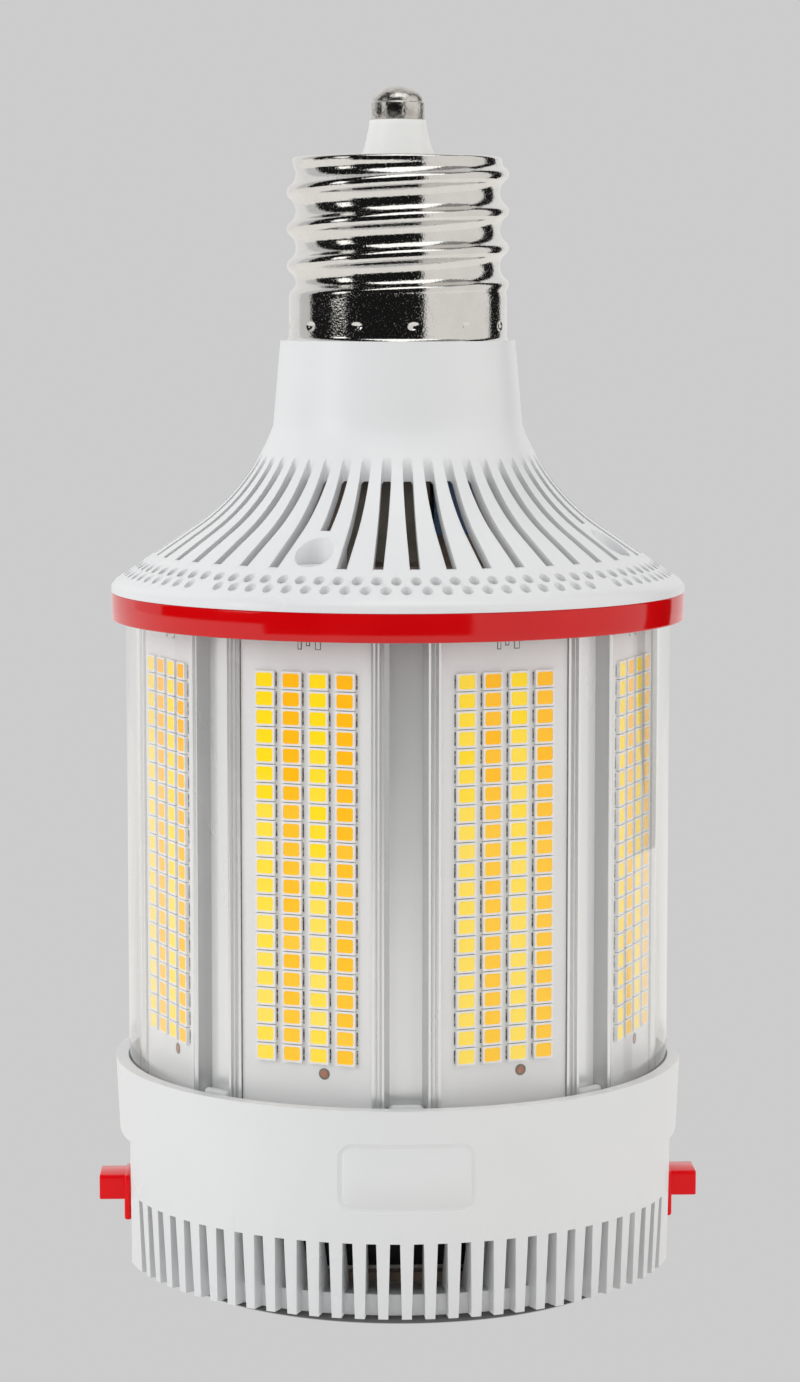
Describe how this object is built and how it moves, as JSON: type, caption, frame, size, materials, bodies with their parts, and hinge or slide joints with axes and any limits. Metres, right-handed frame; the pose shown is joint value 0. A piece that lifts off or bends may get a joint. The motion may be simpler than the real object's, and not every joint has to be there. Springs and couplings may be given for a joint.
{
  "type": "led retrofit bulb",
  "caption": "Fan-cooled LED retrofit bulb with a mogul screw base: slotted flare, clear tube over LED boards on an extruded heat sink, vented cup and selector sliders.",
  "frame": {"origin": "on the lamp's axis in the plane of the vent cup's fin tips, which it stands on", "axes": "+Z along the axis towards the screw base, -Y to the front, +X to the power slider"},
  "size_m": [0.1078, 0.1018, 0.2082],
  "materials": {
    "nickel": "polished nickel plate",
    "insulator": "satin white",
    "white_housing": "satin white moulding",
    "red": "gloss red",
    "clear": "clear polycarbonate",
    "sink": "polished extrusion",
    "led_board": "white solder mask on aluminium",
    "led": "phosphor filled package",
    "fan_black": "black moulding",
    "brown_board": "phenolic board",
    "gasket": "light foam",
    "steel": "zinc plated",
    "wound": "varnished winding",
    "blue": "dipped blue",
    "sleeve": "black sleeve"
  },
  "bodies": {
    "lamp": {"center_contact": "nickel", "base_insulator": "insulator", "screw_shell": "nickel", "driver_housing": "white_housing", "screw_plugs": "white_housing", "housing_screws": "steel", "trim_ring": "red", "lens_tube": "clear", "heat_sink": "sink", "vent_cup": "white_housing", "cup_screws": "steel", "fan_board": "brown_board", "fan_gasket": "gasket", "fan_frame": "fan_black", "fan_screws": "steel", "driver_board": "brown_board", "transformer": "wound", "film_capacitor": "blue", "bulk_capacitors": "sleeve", "choke": "wound", "rectifier": "sleeve", "led_board_1": "led_board", "led_array_1": "led", "led_board_2": "led_board", "led_array_2": "led", "led_board_3": "led_board", "led_array_3": "led", "led_board_4": "led_board", "led_array_4": "led", "led_board_5": "led_board", "led_array_5": "led", "led_board_6": "led_board", "led_array_6": "led", "led_board_7": "led_board", "led_array_7": "led", "led_board_8": "led_board", "led_array_8": "led", "power_switch_body": "steel", "power_switch_board": "brown_board", "colour_switch_body": "steel", "colour_switch_board": "brown_board"},
    "power_slider": {"power_slider": "red", "power_switch_lever": "fan_black"},
    "colour_slider": {"colour_slider": "red", "colour_switch_lever": "fan_black"},
    "fan_rotor": {"fan_rotor": "fan_black"}
  },
  "joints": [
    {"name": "power_slide", "type": "slide", "parent": "lamp", "child": "power_slider", "axis": [0, 1, 0], "range_m": [-0.0015, 0.0015]},
    {"name": "colour_slide", "type": "slide", "parent": "lamp", "child": "colour_slider", "axis": [0, 1, 0], "range_m": [-0.0015, 0.0015]},
    {"name": "fan_spin", "type": "hinge", "parent": "lamp", "child": "fan_rotor", "pos_m": [0, 0, 0.012], "axis": [0, 0, 1], "continuous": true}
  ]
}
